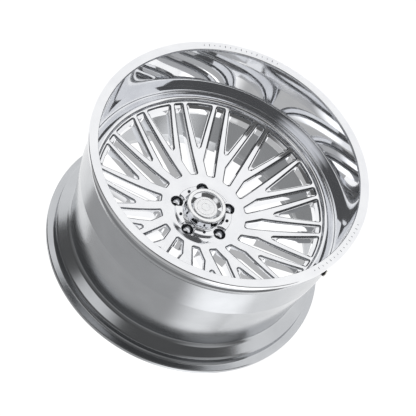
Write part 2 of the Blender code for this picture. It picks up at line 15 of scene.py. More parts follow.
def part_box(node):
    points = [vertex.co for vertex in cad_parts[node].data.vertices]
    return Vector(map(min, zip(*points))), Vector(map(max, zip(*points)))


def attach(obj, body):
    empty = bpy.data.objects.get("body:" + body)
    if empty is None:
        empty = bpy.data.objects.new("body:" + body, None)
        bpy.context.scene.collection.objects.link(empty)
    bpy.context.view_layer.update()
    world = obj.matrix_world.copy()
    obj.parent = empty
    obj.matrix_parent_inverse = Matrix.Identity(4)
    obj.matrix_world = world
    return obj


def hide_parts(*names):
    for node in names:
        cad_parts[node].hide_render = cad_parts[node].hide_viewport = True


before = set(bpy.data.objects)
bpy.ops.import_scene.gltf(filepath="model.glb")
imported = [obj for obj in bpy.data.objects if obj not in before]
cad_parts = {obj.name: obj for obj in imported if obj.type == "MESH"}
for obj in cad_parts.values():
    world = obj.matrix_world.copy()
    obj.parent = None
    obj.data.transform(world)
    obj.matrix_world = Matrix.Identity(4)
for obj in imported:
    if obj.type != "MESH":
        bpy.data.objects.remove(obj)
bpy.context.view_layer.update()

MM = 0.001
FULL_TURN = 2 * math.pi
AXIS = np.array([0.0, 1.0, 0.0])
WELD = 2e-6
SLIVER = 1e-7

# Sizes read from the frame.
low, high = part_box("rim_barrel")
FRONT_Y = low.y
WIDTH = (high.y - low.y) / MM
FLANGE_RADIUS = high.x / MM
centre_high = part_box("forged_centre")[1]
RING_OUTSIDE = centre_high.x / MM
PAD_DEPTH = (centre_high.y - FRONT_Y) / MM
ring_low, ring_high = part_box("cap_ring")
CAP_RADIUS = ring_high.x / MM
CAP_TOP = (ring_low.y - FRONT_Y) / MM
shell_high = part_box("cap_shell")[1]
CAP_FOOT_BACK = (shell_high.y - FRONT_Y) / MM
badge_low, badge_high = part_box("cap_badge")
BADGE_RADIUS = badge_high.x / MM
BADGE_FRONT = (badge_low.y - FRONT_Y) / MM
seat_low, seat_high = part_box("lug_seat_1")
SEAT_RADIUS = (seat_high.x - seat_low.x) / 2 / MM
SEAT_FRONT = (seat_low.y - FRONT_Y) / MM
SEAT_BACK = (seat_high.y - FRONT_Y) / MM
LUG_CIRCLE = (seat_low.z + seat_high.z) / 2 / MM

# The valve stem's depth, from which the lip's own depth follows.
stem_low, stem_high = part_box("valve_stem")
VALVE_DEPTH = ((stem_low.y + stem_high.y) / 2 - FRONT_Y) / MM

# The barrel.
LIP_DEPTH = VALVE_DEPTH + 28.0
BEAD_RADIUS = FLANGE_RADIUS - 17.5
LIP_EDGE = BEAD_RADIUS - 4.3
LIP_FOOT = LIP_EDGE - 3.5
SEAT_DEPTH = LIP_DEPTH + 32.0
WELL_RADIUS = BEAD_RADIUS - 25.3
WELL_DEPTH = WIDTH - 58.5
BARREL_WALL = 7.2
BARREL_STEPS = 448
JOINT_GAP = 0.3

# The centre's windows, as (across, outwards) from the wheel's axis.
SPOKES = 16
PITCH = FULL_TURN / SPOKES
LONG_ANGLE = math.radians(6.25)
RING_RADIUS = LIP_FOOT - 31.0
WINDOW_OUTER = RING_RADIUS - 3.5
LONG_HALF = 11.5
LONG_INNER = 98.0
HEEL = 16.7
TOE = 2.0
KINK = (16.8, 134.0)
SHORT_INNER = 161.5
SHORT_TIP = 4.0
ARM_WIDTH = 7.4
CORNER = 5.0
CHAMFER = 2.3
LEDGE_DROP = 4.6
HUB_EDGE = 88.0
FACE_EDGE = RING_RADIUS - 1.0
JUNCTION = 150.0
HUB_FACE = PAD_DEPTH - 53.0
HUB_STEP = 4.5
HUB_RAMP = 25.0
DISH_DEPTH = 16.0
DISH_POWER = 1.35
SPOKE_THICKNESS = 25.0
HUB_THICKENING = 15.0
HUB_ROWS = 15
BORE_RADIUS = 39.05
PAD_RADIUS = LUG_CIRCLE + 14.5

# The lug pockets and the cap.
LUGS = 5
LUG_ANGLE = math.radians(90.0)
LUG_PITCH = FULL_TURN / LUGS
POCKET_RADIUS = SEAT_RADIUS + 0.3
POCKET_ROUND = 1.0
POCKET_FLOOR = SEAT_BACK + 0.3
STUD_HOLE = 8.5
CAP_FOOT = LUG_CIRCLE + 2.5
CAP_FOOT_FRONT = CAP_FOOT_BACK - 5.7
SCALLOP = POCKET_RADIUS + 2.5
SCREW_CIRCLE = LUG_CIRCLE - 6.5
SCREW_SHANK = 1.9
CAP_RING_INNER = CAP_RADIUS - 8.9

# The valve.
VALVE_ANGLE = math.radians(180.0)
VALVE_WALL = LIP_EDGE - 3.5 * VALVE_DEPTH / LIP_DEPTH
VALVE_LENGTH = 18.5
STEM_RADIUS = 3.8
THREAD_PITCH = 0.794
THREAD_DEPTH = 0.11
KNURLS = 24
KNURL_DEPTH = 0.035


def linear(hex_colour):
    """An sRGB hex colour as linear RGBA."""
    channels = [int(hex_colour[k:k + 2], 16) / 255 for k in (0, 2, 4)]
    return [c / 12.92 if c <= 0.04045 else ((c + 0.055) / 1.055) ** 2.4 for c in channels] + [1.0]


def step(tree, kind, settings=None, links=None):
    """Adds one node. Settings are its attributes or sockets, and links feed its sockets from others."""
    made = tree.nodes.new(kind)
    for key, value in (settings or {}).items():
        if key in made.inputs.keys():
            made.inputs[key].default_value = value
        else:
            setattr(made, key, value)
    for key, source in (links or {}).items():
        tree.links.new(source, made.inputs[key])
    return made


def surface(name, tones, polish, cell, grain, height, metallic=1.0, detail=3.0):
    """A material: two close tones and a roughness range drift over cells, under a fine grain.

    Tones are two hex colours, and polish is the least and most roughness. A cell is this many mm, and the
    grain's are its two sizes across the wheel's axis and along it. Height is the grain's relief in mm.
    """
    made = bpy.data.materials.new(name)
    made.use_nodes = True
    tree = made.node_tree
    shader = tree.nodes["Principled BSDF"]
    shader.inputs["Metallic"].default_value = metallic
    where = step(tree, "ShaderNodeTexCoord").outputs["Object"]
    patterns = []
    for across, along, fineness in ((cell, cell, 3.0), (*grain, detail)):
        scale = (1 / (across * MM), 1 / (along * MM), 1 / (across * MM))
        placed = step(tree, "ShaderNodeMapping", {"Scale": scale}, {"Vector": where})
        settings = {"Scale": 1.0, "Detail": fineness}
        noise = step(tree, "ShaderNodeTexNoise", settings, {"Vector": placed.outputs["Vector"]})
        patterns.append(noise.outputs["Fac"])
    drift = []
    for least, most in ((0.0, 1.0), polish):
        settings = {"From Min": 0.3, "From Max": 0.7, "To Min": least, "To Max": most}
        drift.append(step(tree, "ShaderNodeMapRange", settings, {"Value": patterns[0]}).outputs["Result"])
    settings = {"data_type": "RGBA", "A": linear(tones[0]), "B": linear(tones[1])}
    mix = step(tree, "ShaderNodeMix", settings, {"Factor": drift[0]})
    settings = {"Strength": 1.0, "Distance": height * MM}
    bump = step(tree, "ShaderNodeBump", settings, {"Height": patterns[1]})
    tree.links.new(mix.outputs["Result"], shader.inputs["Base Color"])
    tree.links.new(drift[1], shader.inputs["Roughness"])
    tree.links.new(bump.outputs["Normal"], shader.inputs["Normal"])
    return made


def mirror_aluminium():
    """Forged 6061 aluminium, ground and buffed to a mirror. Faint buffing haze drifts over it."""
    return surface("mirror_polished_forged_aluminium", ("EDEEF0", "E6E7EA"), (0.02, 0.055), 38.0,
                   (7.0, 7.0), 0.004)


def polished_aluminium():
    """The lip, buffed on a lathe: a mirror with the slightest drag lines round the axis."""
    return surface("buffed_lip_aluminium", ("ECEDEF", "E4E5E8"), (0.03, 0.06), 55.0, (60.0, 1.6), 0.002)


def turned_painted_shade_aluminium():
    """The barrel's outside and its inboard half, turned and lightly polished: softer and lined. Its greyer
    tone is painted shade.
    """
    return surface("turned_barrel_aluminium_painted_shade", ("BFC1C4", "B7B9BC"), (0.15, 0.2), 70.0,
                   (90.0, 0.9), 0.004)


def milled_painted_shade_aluminium():
    """The windows' bevels, left as the ball mill cut them: satin, with fine feed lines. Their dark tone is
    painted shade.
    """
    return surface("milled_bevel_painted_shade", ("8B8D90", "7C7E81"), (0.24, 0.34), 6.0, (0.5, 0.5), 0.008)


def bright_ring_metal():
    """The cap's ring, diamond turned, so it glints in soft arcs."""
    return surface("diamond_turned_ring_aluminium", ("F2F2F3", "EAEBEC"), (0.07, 0.12), 9.0,
                   (3.0, 0.4), 0.002)


def zinc_steel_painted_shade():
    """Lug seats of zinc plated steel, dull, and darker than the zinc's own grey as painted shade of their
    pockets.
    """
    return surface("zinc_seat_steel_painted_shade", ("8A8C8F", "707275"), (0.26, 0.4), 4.0, (0.6, 0.6), 0.01)


def black_oxide_steel():
    """Cap screws in black oxide, worn a little brighter in patches."""
    return surface("black_oxide_screw_steel", ("55565A", "3C3D40"), (0.26, 0.38), 1.6, (0.3, 0.3), 0.005)


def welded_aluminium():
    """The weld's frosted, rippled metal."""
    return surface("as_welded_aluminium", ("BDBEC0", "9FA1A4"), (0.32, 0.5), 3.0, (0.8, 0.8), 0.03)


def nickel():
    """The valve's brass, nickel plated: bright, with a faint warm cast."""
    return surface("nickel_plated_valve_brass", ("D6D3CC", "C9C6BF"), (0.1, 0.2), 5.0, (0.4, 0.4), 0.002)


def brass():
    """The valve core's bare turned brass: yellow and softly bright."""
    return surface("turned_core_brass", ("D9B56A", "C49B50"), (0.18, 0.3), 2.0, (0.3, 0.3), 0.002)


def nylon():
    """Glass-filled nylon, spark textured and near black: the centring ring and the dust cap."""
    return surface("glass_filled_nylon", ("2B2B2C", "222223"), (0.38, 0.52), 6.0, (0.5, 0.5), 0.03, 0.0, 2.0)


def rubber():
    """Moulded EPDM rubber, matt with a faint bloom."""
    return surface("moulded_epdm_rubber", ("242424", "1B1B1B"), (0.5, 0.68), 4.0, (0.4, 0.4), 0.02, 0.0, 2.0)


def pearl_lacquer():
    """The badge: clear and pearl lacquer over a polished disc, so it stays white and softly mirrors."""
    made = surface("pearl_lacquered_badge", ("F1F1F2", "EAEBED"), (0.09, 0.16), 12.0,
                   (1.6, 1.6), 0.004, 0.85)
    shader = made.node_tree.nodes["Principled BSDF"]
    shader.inputs["Coat Weight"].default_value = 0.5
    shader.inputs["Coat Roughness"].default_value = 0.04
    return made


def spin(radius, depth, angle):
    """Points in metres from radius, depth and angle, which broadcast together.

    X is the radius times the angle's cosine, Z the radius times its sine, and Y the front face plus
    the depth.
    """
    radius, depth, angle = np.broadcast_arrays(radius, depth, angle)
    return np.stack([radius * np.cos(angle) * MM, FRONT_Y + depth * MM, radius * np.sin(angle) * MM], -1)


def net(points, close_rows=False, close_columns=False):
    """A grid of points as (points, quads). Each quad joins a point to the next ones in its row and column.

    Closing the rows joins the last row to the first, and closing the columns does so for the columns.
    """
    rows, columns = points.shape[:2]
    index = np.arange(rows * columns).reshape(rows, columns)
    if close_rows:
        index = np.vstack([index, index[:1]])
    if close_columns:
        index = np.hstack([index, index[:, :1]])
    faces = np.stack([index[:-1, :-1], index[:-1, 1:], index[1:, 1:], index[1:, :-1]], -1)
    return points.reshape(-1, 3), faces.reshape(-1, 4)


def mend(mesh):
    """Merges a mesh's doubles, drops its slivers and turns its faces outwards."""
    work = bmesh.new()
    work.from_mesh(mesh)
    bmesh.ops.remove_doubles(work, verts=work.verts, dist=WELD)
    bmesh.ops.dissolve_degenerate(work, edges=work.edges, dist=SLIVER)
    bmesh.ops.recalc_face_normals(work, faces=work.faces)
    work.to_mesh(mesh)
    work.free()


def smooth(mesh, sharp):
    """Smooth shading, except across edges that turn by more than this many degrees."""
    mesh.polygons.foreach_set("use_smooth", np.ones(len(mesh.polygons), bool))
    mesh.set_sharp_from_angle(angle=math.radians(sharp))


def place(name, data):
    """A new object in the scene, at the origin."""
    made = bpy.data.objects.new(name, data)
    bpy.context.scene.collection.objects.link(made)
    return made


def build(name, nets, materials, body, nodes, sharp=32.0, picks=None):
    """One closed object from several nets. Picks give each net's place in the list of materials."""
    offset = 0
    points = []
    faces = []
    choice = []
    for k, (patch, quads) in enumerate(nets):
        points.append(patch)
        faces.append(quads + offset)
        choice.append(np.full(len(quads), picks[k] if picks else 0))
        offset += len(patch)
    mesh = bpy.data.meshes.new(name)
    mesh.from_pydata(np.vstack(points), [], np.vstack(faces))
    for material in materials:
        mesh.materials.append(material)
    mesh.polygons.foreach_set("material_index", np.concatenate(choice).astype(np.int32))
    mend(mesh)
    smooth(mesh, sharp)
    made = place(name, mesh)
    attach(made, body)
    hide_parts(*nodes)
    return made


def dress(node, nets, material, body, sharp=32.0):
    """One piece in a single finish, in place of its node."""
    build(node + "_finish", nets, [material], body, [node], sharp)


def filleted(corners, steps=6, closed=False):
    """A line through (x, y, fillet) corners, each turned into an arc of its own fillet.

    The arc touches both sides at the fillet over the tangent of half the corner's angle, or just short of the
    shorter side's middle. Its centre is on the corner's bisector.
    """
    count = len(corners)
    line = []
    for k, (x, y, fillet) in enumerate(corners):
        here = np.array([x, y], float)
        if fillet == 0 or (not closed and k in (0, count - 1)):
            line.append(here[None])
            continue
        before = np.array(corners[k - 1][:2]) - here
        after = np.array(corners[(k + 1) % count][:2]) - here
        room = min(np.linalg.norm(before), np.linalg.norm(after)) * 0.49
        before /= np.linalg.norm(before)
        after /= np.linalg.norm(after)
        half = math.acos(np.clip(before @ after, -1, 1)) / 2
        reach = min(fillet / math.tan(half), room)
        radius = reach * math.tan(half)
        middle = (before + after) / np.linalg.norm(before + after)
        hub = here + middle * radius / math.sin(half)
        start = here + before * reach - hub
        end = here + after * reach - hub
        angle = math.atan2(start[0] * end[1] - start[1] * end[0], start @ end)
        turn = angle * np.linspace(0, 1, steps + 1)[:, None]
        line.append(hub + start * np.cos(turn) + np.array([-start[1], start[0]]) * np.sin(turn))
    return np.vstack(line)


def lathed(profile, angles):
    """A profile's (radius, depth) rows, each a circle of points at these angles round the wheel's axis."""
    return net(spin(profile[:, :1], profile[:, 1:], angles[None]), close_columns=True)


def ring_angles(count):
    """Even angles once round."""
    return np.arange(count) * FULL_TURN / count


def face_depth(radius):
    """The spokes' front face: flat at the hub, and a dish that steepens outwards.

    The dish is a power of the share of the way out to the ring. Inside it the face steps back to the hub
    along a smooth S.
    """
    inner = HUB_FACE - HUB_STEP
    outer = LIP_DEPTH + DISH_DEPTH
    start = LONG_INNER - 1
    part = np.clip((radius - start) / (RING_RADIUS - start), 0, None)
    rise = np.clip((start - radius) / HUB_RAMP, 0, 1)
    return inner + (outer - inner) * part ** DISH_POWER + HUB_STEP * rise * rise * (3 - 2 * rise)


def back_depth(radius):
    """The spokes' back: the face's dish, plus a thickness that grows towards the hub as a power of 3.5."""
    share = np.clip((RING_RADIUS - radius) / (RING_RADIUS - LONG_INNER - 2), 0, None)
    return face_depth(radius) + SPOKE_THICKNESS + HUB_THICKENING * share ** 3.5


def outline(corners):
    """A rounded polygon as dense points, one row per parameter: each arc, then the side that follows it."""
    count = len(corners)
    dense = 24
    arcs = []
    for k, corner in enumerate(corners):
        trio = [(*corners[k - 1][:2], 0), corner, (*corners[(k + 1) % count][:2], 0)]
        arcs.append(filleted(trio, dense)[1:-1])
    share = np.linspace(0, 1, dense + 2)[1:-1, None]
    loop = []
    for k, arc in enumerate(arcs):
        after = arcs[(k + 1) % count][0]
        loop += [arc, arc[-1] * (1 - share) + after * share]
    return np.vstack(loop)


def nearest(points, loop):
    """Where on a closed loop each point's foot lies, as a parameter in loop steps.

    The foot on each side is the point's projection, held within the side, and the closest side wins.
    """
    start = loop[None]
    along = np.roll(loop, -1, 0)[None] - start
    part = ((points[:, None] - start) * along).sum(-1) / np.maximum((along ** 2).sum(-1), 1e-12)
    part = np.clip(part, 0, 1)
    gap = ((start + along * part[..., None] - points[:, None]) ** 2).sum(-1)
    best = gap.argmin(1)
    return best + part[np.arange(len(points)), best]


def read(loop, parameter):
    """A closed loop's points at these parameters, between its corners in straight lines."""
    steps = np.arange(len(loop) + 1)
    closed = np.vstack([loop, loop[:1]])
    return np.stack([np.interp(parameter, steps, closed[:, k]) for k in (0, 1)], -1)


def line_angle(start, end, radius):
    """The angle at which the line through two (across, outwards) points is this far from the axis.

    Of the two roots of that quadratic, it takes the one nearer to the middle of the two points.
    """
    start = np.array(start)
    along = np.array(end) - start
    square = along @ along
    lean = start @ along
    root = np.sqrt(np.maximum(lean * lean - square * (start @ start - radius ** 2), 0))
    part = (-lean + root) / square
    other = (-lean - root) / square
    part = np.where(np.abs(part - 0.5) < np.abs(other - 0.5), part, other)
    at = start + part[:, None] * along
    return np.arctan2(at[:, 0], at[:, 1])


def window_shapes():
    """Corner lists of the long and the short window at the face, and of the openings below their ledges."""
    spread_angle = math.pi / SPOKES - (LONG_HALF + ARM_WIDTH) / WINDOW_OUTER
    across = WINDOW_OUTER * math.sin(spread_angle)
    end = WINDOW_OUTER * math.cos(spread_angle)
    long_face = [
        (LONG_HALF, WINDOW_OUTER, CORNER),
        (-LONG_HALF, WINDOW_OUTER, CORNER),
        (-HEEL, LONG_INNER, CORNER),
        (TOE, LONG_INNER + 0.8, CORNER),
        (*KINK, CORNER),
    ]
    long_hole = [
        (LONG_HALF - 4.4, WINDOW_OUTER - 9.5, 2.6),
        (-LONG_HALF + 4.4, WINDOW_OUTER - 9.5, 2.6),
        (-HEEL + 4.6, LONG_INNER + 5.0, 3.0),
        (TOE - 1.2, LONG_INNER + 5.0, 3.0),
        (KINK[0] - 4.4, KINK[1] + 1.0, 4.0),
    ]
    short_face = [
        (across, end, CORNER),
        (0.0, WINDOW_OUTER, WINDOW_OUTER / 2),
        (-across, end, CORNER),
        (-SHORT_TIP, SHORT_INNER, SHORT_TIP * 0.7),
        (SHORT_TIP, SHORT_INNER, SHORT_TIP * 0.7),
    ]
    lean = (across - SHORT_TIP) / (end - SHORT_INNER)
    tip = SHORT_INNER + 13.0
    tip_half = SHORT_TIP + lean * 13.0 - 4.6
    hole_end = end - 9.0
    hole_half = across - lean * 9.0 - 4.6
    short_hole = [
        (hole_half, hole_end, 2.6),
        (0.0, hole_end + 1.2, WINDOW_OUTER / 2),
        (-hole_half, hole_end, 2.6),
        (-tip_half, tip, tip_half * 0.7),
        (tip_half, tip, tip_half * 0.7),
    ]
    return (long_face, long_hole), (short_face, short_hole)


def cell_borders():
    """The closed lines that part the windows' cells, as (across, outwards) rows in each window's frame.

    The cells meet on the middle lines of the arms and of the stems, on the hub's edge and at the ring.
    """
    (long_face, _), (short_face, _) = window_shapes()
    up = long_face[4][:2], long_face[0][:2]
    toe = long_face[3][:2], long_face[4][:2]
    down = long_face[2][:2], long_face[1][:2]
    near_side = short_face[3][:2], short_face[2][:2]
    far_side = short_face[4][:2], short_face[0][:2]
    half = PITCH / 2
    stem = np.linspace(HUB_EDGE, JUNCTION, 15)
    reach = np.clip(stem, LONG_INNER + 2, None)
    long_side = np.where(reach < KINK[1], line_angle(*toe, reach), line_angle(*up, reach)) - half
    next_side = line_angle(*down, reach) + half
    stem_angle = (long_side + next_side) / 2
    arm = np.concatenate([
        np.linspace(SHORT_INNER + 2, 240, 13),
        np.linspace(243, FACE_EDGE - 1.5, 9),
    ])
    reach = np.clip(arm, None, WINDOW_OUTER - 3)
    first = (line_angle(*up, reach) - half + line_angle(*near_side, reach)) / 2
    second = (line_angle(*down, reach) + half + line_angle(*far_side, reach)) / 2
    edge = (LONG_HALF + ARM_WIDTH / 2) / WINDOW_OUTER
    first_end = edge - half
    second_end = half - edge
    long_arc = np.linspace(-edge, edge, 13)
    short_arc = np.linspace(first_end, second_end, 25)
    hub_arc = np.linspace(stem_angle[0] - half, stem_angle[0] + half, 21)[:-1]

    def ray(radius, angle):
        """Points at this radius and angle, as (across, outwards)."""
        return np.stack([radius * np.sin(angle), radius * np.cos(angle)], -1)

    short_border = np.vstack([
        ray(JUNCTION, stem_angle[-1:]),
        ray(arm, second),
        ray(FACE_EDGE, short_arc[::-1]),
        ray(arm[::-1], first[::-1]),
    ])
    long_border = np.vstack([
        ray(HUB_EDGE, hub_arc[:1]),
        ray(HUB_EDGE, hub_arc[1:]),
        ray(stem, stem_angle + half),
        ray(arm, first + half),
        ray(FACE_EDGE, long_arc[::-1]),
        ray(arm[::-1], second[::-1] - half),
        ray(stem[::-1], stem_angle[::-1] - half)[:-1],
    ])
    hub_circle = hub_arc + LONG_ANGLE
    ring_circle = np.concatenate([long_arc[:-1] + LONG_ANGLE, short_arc[:-1] + LONG_ANGLE + half])
    return long_border, short_border, hub_circle, ring_circle


def window_nets(border, face_corners, hole_corners, first_angle):
    """One window's cell, repeated: front face, rounded edge, chamfer, ledge, wall and back face.

    Each ring of points is the window's outline moved along the line to the cell's border, or a blend
    of the outlines of the window and of the hole below it.
    """
    edge = outline(face_corners)
    hole = outline(hole_corners)
    parameter = nearest(border, edge)
    at_edge = read(edge, parameter)
    at_hole = read(hole, parameter)
    away = border - at_edge
    width = np.linalg.norm(away, axis=1, keepdims=True)
    away = away / width
    rounding = 0.9
    rings = []
    for share in (1.0, 0.5, 0.08, 0.0):
        flat = at_edge + away * (rounding + (width - rounding) * share)
        rings.append((flat, 0.0, "front"))
    for turn in np.radians([15, 30, 45]):
        flat = at_edge + away * rounding * (1 - math.sin(turn))
        rings.append((flat, rounding * (1 - math.cos(turn)), "front"))
    bevel_start = rounding * (1 - math.cos(math.radians(45)))
    inset = CHAMFER - rounding * (1 - math.sin(math.radians(45)))
    foot = at_edge - away * inset
    bevel_end = bevel_start + CHAMFER
    ease = 0.25
    toward = at_hole - foot
    out = border - at_hole
    length = np.linalg.norm(out, axis=1, keepdims=True)
    out = out / length
    back_round = 1.2
    back_flat = 1.7
    rings += [
        (foot, bevel_end, "front"),
        (foot, bevel_end + ease, "front"),
        (foot, LEDGE_DROP - ease, "front"),
        (foot + toward * 0.08, LEDGE_DROP, "front"),
        (foot + toward * 0.9, LEDGE_DROP, "front"),
        (at_hole, LEDGE_DROP + 0.3, "front"),
        (at_hole, LEDGE_DROP + 0.8, "front"),
        (at_hole, back_round + 0.1, "back"),
        (at_hole + out * 0.35, 0.35, "back"),
        (at_hole + out * back_round, 0.0, "back"),
        (at_hole + out * back_flat, 0.0, "back"),
    ]
    for share in (0.5, 1.0):
        rings.append((at_hole + out * (back_flat + (length - back_flat) * share), 0.0, "back"))
    flat = np.stack([ring[0] for ring in rings])
    radius = np.hypot(flat[..., 0], flat[..., 1])
    turn = np.arctan2(flat[..., 0], flat[..., 1])
    drop = np.array([ring[1] for ring in rings])[:, None]
    front = np.array([ring[2] == "front" for ring in rings])[:, None]
    depth = np.where(front, face_depth(radius) + drop, back_depth(radius) - drop)
    start_row = next(k for k, ring in enumerate(rings) if ring[1] > bevel_start) - 1
    bands = ((0, start_row), (start_row, start_row + 1), (start_row + 1, len(rings) - 1))
    face = []
    bevel = []
    for k in range(SPOKES):
        points = spin(radius, depth, turn + first_angle + k * PITCH)
        for number, (near, far) in enumerate(bands):
            group = bevel if number == 1 else face
            group.append(net(points[near:far + 1], close_columns=True))
    return face, bevel


def hub_border(outer, angles):
    """One hub cell's closed line: along an outer circle, in to the bore, back along it, and out again."""
    span = len(angles) - 1
    inwards = np.linspace(outer, BORE_RADIUS, HUB_ROWS)
    radius = np.concatenate([
        np.full(span + 1, outer), inwards[1:], np.full(span, BORE_RADIUS), inwards[-2:0:-1],
    ])
    turn = np.concatenate([
        angles, np.full(HUB_ROWS - 1, angles[-1]), angles[-2::-1], np.full(HUB_ROWS - 2, angles[0]),
    ])
    return np.stack([radius * np.cos(turn), radius * np.sin(turn)], -1)


def lug_cell(front, back, lug):
    """One hub cell's grid, from the front face down the lug's pocket and stud hole to the pad's back.

    Each row lies on the lines from the lug's middle to the front border, at its own reach. The last two
    rows blend from the stud hole's edge to the back border.
    """
    away = front - lug
    reach = np.linalg.norm(away, axis=1, keepdims=True)
    away = away / reach
    mouth = POCKET_RADIUS + POCKET_ROUND
    rings = [lug + away * (mouth + (reach - mouth) * share) for share in (1.0, 0.66, 0.33, 0.06, 0.0)]
    depths = [face_depth(np.hypot(*flat.T)) for flat in rings]
    rim = face_depth(np.hypot(*(lug + away * POCKET_RADIUS).T))
    for turn in np.radians([22, 45, 68, 90]):
        rings.append(lug + away * (mouth - POCKET_ROUND * math.sin(turn)))
        depths.append(rim + POCKET_ROUND * (1 - math.cos(turn)))
    rows = (
        (POCKET_RADIUS, rim + POCKET_ROUND + 0.6),
        (POCKET_RADIUS, POCKET_FLOOR - 0.6),
        (POCKET_RADIUS, POCKET_FLOOR),
        (POCKET_RADIUS - 0.6, POCKET_FLOOR),
        (STUD_HOLE + 0.5, POCKET_FLOOR),
        (STUD_HOLE, POCKET_FLOOR + 0.5),
        (STUD_HOLE, PAD_DEPTH - 0.8),
        (STUD_HOLE + 0.8, PAD_DEPTH),
        (STUD_HOLE + 1.3, PAD_DEPTH),
    )
    for radius, depth in rows:
        rings.append(lug + away * radius)
        depths.append(np.broadcast_to(depth, len(away)))
    last = rings[-1]
    for share in (0.5, 1.0):
        rings.append(last + (back - last) * share)
        depths.append(np.full(len(away), PAD_DEPTH))
    flat = np.stack(rings)
    depth = np.stack(depths)
    return np.stack([flat[..., 0] * MM, FRONT_Y + depth * MM, flat[..., 1] * MM], -1)


def hub_nets(hub_circle):
    """The hub between the bore and the windows: a cell round each lug pocket, the bore, and the pad's slope.

    The cells are parted at the window cells' own points that lie nearest to midway between two lugs.
    """
    angles = (hub_circle[None] + np.arange(SPOKES)[:, None] * PITCH).reshape(-1)
    goals = LUG_ANGLE + (np.arange(LUGS) - 0.5) * LUG_PITCH
    cuts = np.abs((angles - goals[:, None] + math.pi) % FULL_TURN - math.pi).argmin(1)
    nets = []
    for k in range(LUGS):
        span = (cuts[(k + 1) % LUGS] - cuts[k]) % len(angles)
        taken = angles[(cuts[k] + np.arange(span + 1)) % len(angles)]
        middle = LUG_ANGLE + k * LUG_PITCH
        lug = LUG_CIRCLE * np.array([math.cos(middle), math.sin(middle)])
        cell = lug_cell(hub_border(HUB_EDGE, taken), hub_border(PAD_RADIUS, taken), lug)
        nets.append(net(cell, close_columns=True))
    bore = np.array([(BORE_RADIUS, float(face_depth(BORE_RADIUS))), (BORE_RADIUS, PAD_DEPTH)])
    slope = filleted([
        (HUB_EDGE, float(back_depth(HUB_EDGE)), 0),
        (PAD_RADIUS + 4, PAD_DEPTH - 7, 5),
        (PAD_RADIUS, PAD_DEPTH, 0),
    ])
    return nets + [lathed(bore, angles), lathed(slope, angles)]


def forged_centre(mirror, shaded_bevel):
    """The forged centre: window cells, hub cells, and a turned profile for the ring with its shoulder.

    All of them share the points along their borders, so the doubles merge into one closed skin.
    """
    long_border, short_border, hub_circle, ring_circle = cell_borders()
    (long_face, long_hole), (short_face, short_hole) = window_shapes()
    nets, bevels = window_nets(long_border, long_face, long_hole, LONG_ANGLE)
    short_nets, short_bevels = window_nets(short_border, short_face, short_hole, LONG_ANGLE + PITCH / 2)
    nets += short_nets + hub_nets(hub_circle)
    bevels += short_bevels
    angles = (ring_circle[None] + np.arange(SPOKES)[:, None] * PITCH).reshape(-1)
    back = float(back_depth(FACE_EDGE))
    shoulder = filleted([
        (FACE_EDGE, float(face_depth(FACE_EDGE)), 0),
        (RING_RADIUS + 1.2, LIP_DEPTH + 9.0, 6.0),
        (RING_RADIUS + 6.5, LIP_DEPTH + 5.5, 7.0),
        (RING_RADIUS + 18.0, LIP_DEPTH + 14.0, 14.0),
        (RING_OUTSIDE - 4.0, LIP_DEPTH + 22.0, 6.0),
        (RING_OUTSIDE, LIP_DEPTH + 21.0, 1.2),
        (RING_OUTSIDE, SEAT_DEPTH, 0.8),
        (RING_RADIUS + 18.0, SEAT_DEPTH, 3.0),
        (RING_RADIUS + 14.5, LIP_DEPTH + 26, 3.0),
        (RING_RADIUS + 6.0, LIP_DEPTH + 26, 4.0),
        (RING_RADIUS + 3.0, SEAT_DEPTH + 8, 6.0),
        (FACE_EDGE, back, 0),
    ], 3)
    nets.append(lathed(shoulder, angles))
    # The windows' bevels take the material whose dark tone is painted shade.
    picks = [0] * len(nets) + [1] * len(bevels)
    build("forged_centre_finish", nets + bevels, [mirror, shaded_bevel], "rim",
          ["forged_centre"], 50.0, picks)


def pierce(made, origin, direction, radius, near, far):
    """Cuts a round hole through a piece, from one height to another along a direction."""
    profile = np.array([(0.0, near), (radius, near), (radius, far), (0.0, far)])
    points, faces = carried(profile, origin, direction, 64)
    mesh = bpy.data.meshes.new("drill")
    mesh.from_pydata(points, [], faces)
    mend(mesh)
    drill = place("drill", mesh)
    cut = made.modifiers.new("cut", "BOOLEAN")
    cut.operation = "DIFFERENCE"
    cut.solver = "EXACT"
    cut.object = drill
    bpy.context.view_layer.update()
    graph = bpy.context.evaluated_depsgraph_get()
    pierced = bpy.data.meshes.new_from_object(made.evaluated_get(graph))
    made.modifiers.clear()
    made.data = pierced
    bpy.data.objects.remove(drill, do_unlink=True)
    smooth(pierced, 50.0)


